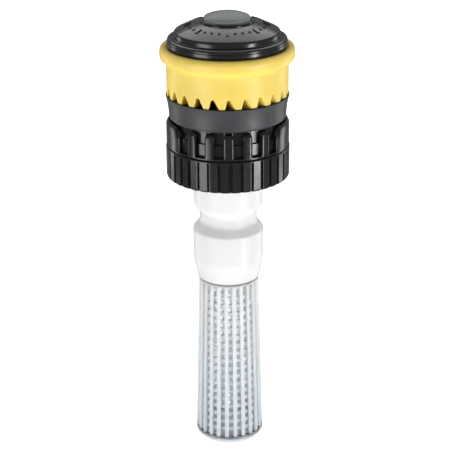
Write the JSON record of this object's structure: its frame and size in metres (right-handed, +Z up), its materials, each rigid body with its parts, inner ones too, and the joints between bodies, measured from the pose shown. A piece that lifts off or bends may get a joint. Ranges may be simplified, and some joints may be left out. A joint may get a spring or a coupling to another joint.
{
  "type": "rotary sprinkler nozzle",
  "caption": "Multi-stream rotary nozzle for a pop-up sprinkler riser: yellow spinning deflector, ribbed arc ring, knurled radius ring and a slotted filter screen.",
  "frame": {"origin": "centre of the base's lower rim, at the mouth of the riser thread", "axes": "+Z up along the spin axis towards the cap, the screen hangs towards -Z, the front faces -Y and the two grip lugs are at +X and -X"},
  "size_m": [0.0258, 0.0258, 0.0897],
  "materials": {
    "yellow_plastic": "moulded acetal, satin",
    "black_plastic": "moulded, satin",
    "charcoal_plastic": "moulded, fine matte",
    "grey_plastic": "moulded, satin",
    "screen_plastic": "natural translucent polypropylene",
    "base_plastic": "moulded acetal",
    "valve_plastic": "moulded acetal",
    "bearing_plastic": "low-friction plastic",
    "friction_pad": "pressed friction lining",
    "stainless": "turned and drawn stainless",
    "rubber": "moulded seal rubber"
  },
  "bodies": {
    "base": {"base": "base_plastic", "hub": "base_plastic", "riser_gasket": "rubber", "radius_ring_seal": "rubber", "filter_neck": "screen_plastic", "filter_basket": "screen_plastic", "lift_spring": "stainless"},
    "arc_adjuster": {"nozzle_housing": "charcoal_plastic", "arc_ring": "black_plastic", "housing_seal": "rubber"},
    "valve": {"valve_sleeve": "valve_plastic"},
    "radius_adjuster": {"radius_ring": "black_plastic", "adjuster_washer": "bearing_plastic"},
    "throttle": {"throttle_nut": "base_plastic"},
    "shaft": {"shaft": "stainless", "spring_retainer": "stainless", "brake_hub": "stainless", "brake_pad": "friction_pad", "thrust_washer": "bearing_plastic", "retaining_ring": "stainless"},
    "deflector": {"deflector": "yellow_plastic", "deflector_cap": "black_plastic", "centre_plug": "grey_plastic", "brake_plate": "stainless", "deflector_bearing": "bearing_plastic", "shaft_seal": "rubber", "seal_retainer": "bearing_plastic"}
  },
  "joints": [
    {"name": "pop_up", "type": "slide", "parent": "base", "child": "shaft", "axis": [0, 0, 1], "range_m": [0, 0.005], "stiffness_N_per_m": 300, "springref_m": -0.01, "deforming": ["lift_spring"]},
    {"name": "deflector_spin", "type": "hinge", "parent": "shaft", "child": "deflector", "pos_m": [0, 0, 0.02], "axis": [0, 0, 1], "continuous": true},
    {"name": "arc_adjust", "type": "hinge", "parent": "base", "child": "arc_adjuster", "pos_m": [0, 0, 0.01], "axis": [0, 0, 1], "range_deg": [0, 225]},
    {"name": "valve_lift", "type": "slide", "parent": "base", "child": "valve", "axis": [0, 0, 1], "range_m": [-0.0008, 0]},
    {"name": "radius_adjust", "type": "hinge", "parent": "base", "child": "radius_adjuster", "pos_m": [0, 0, 0.003], "axis": [0, 0, 1], "range_deg": [0, 94]},
    {"name": "throttle_travel", "type": "slide", "parent": "radius_adjuster", "child": "throttle", "axis": [0, 0, 1], "range_m": [-0.00185, 0]}
  ],
  "couplings": [
    {"joint": "valve_lift", "follows": "arc_adjust", "m_per_rad": -0.00019099},
    {"joint": "throttle_travel", "follows": "radius_adjust", "m_per_rad": -0.0010972}
  ]
}
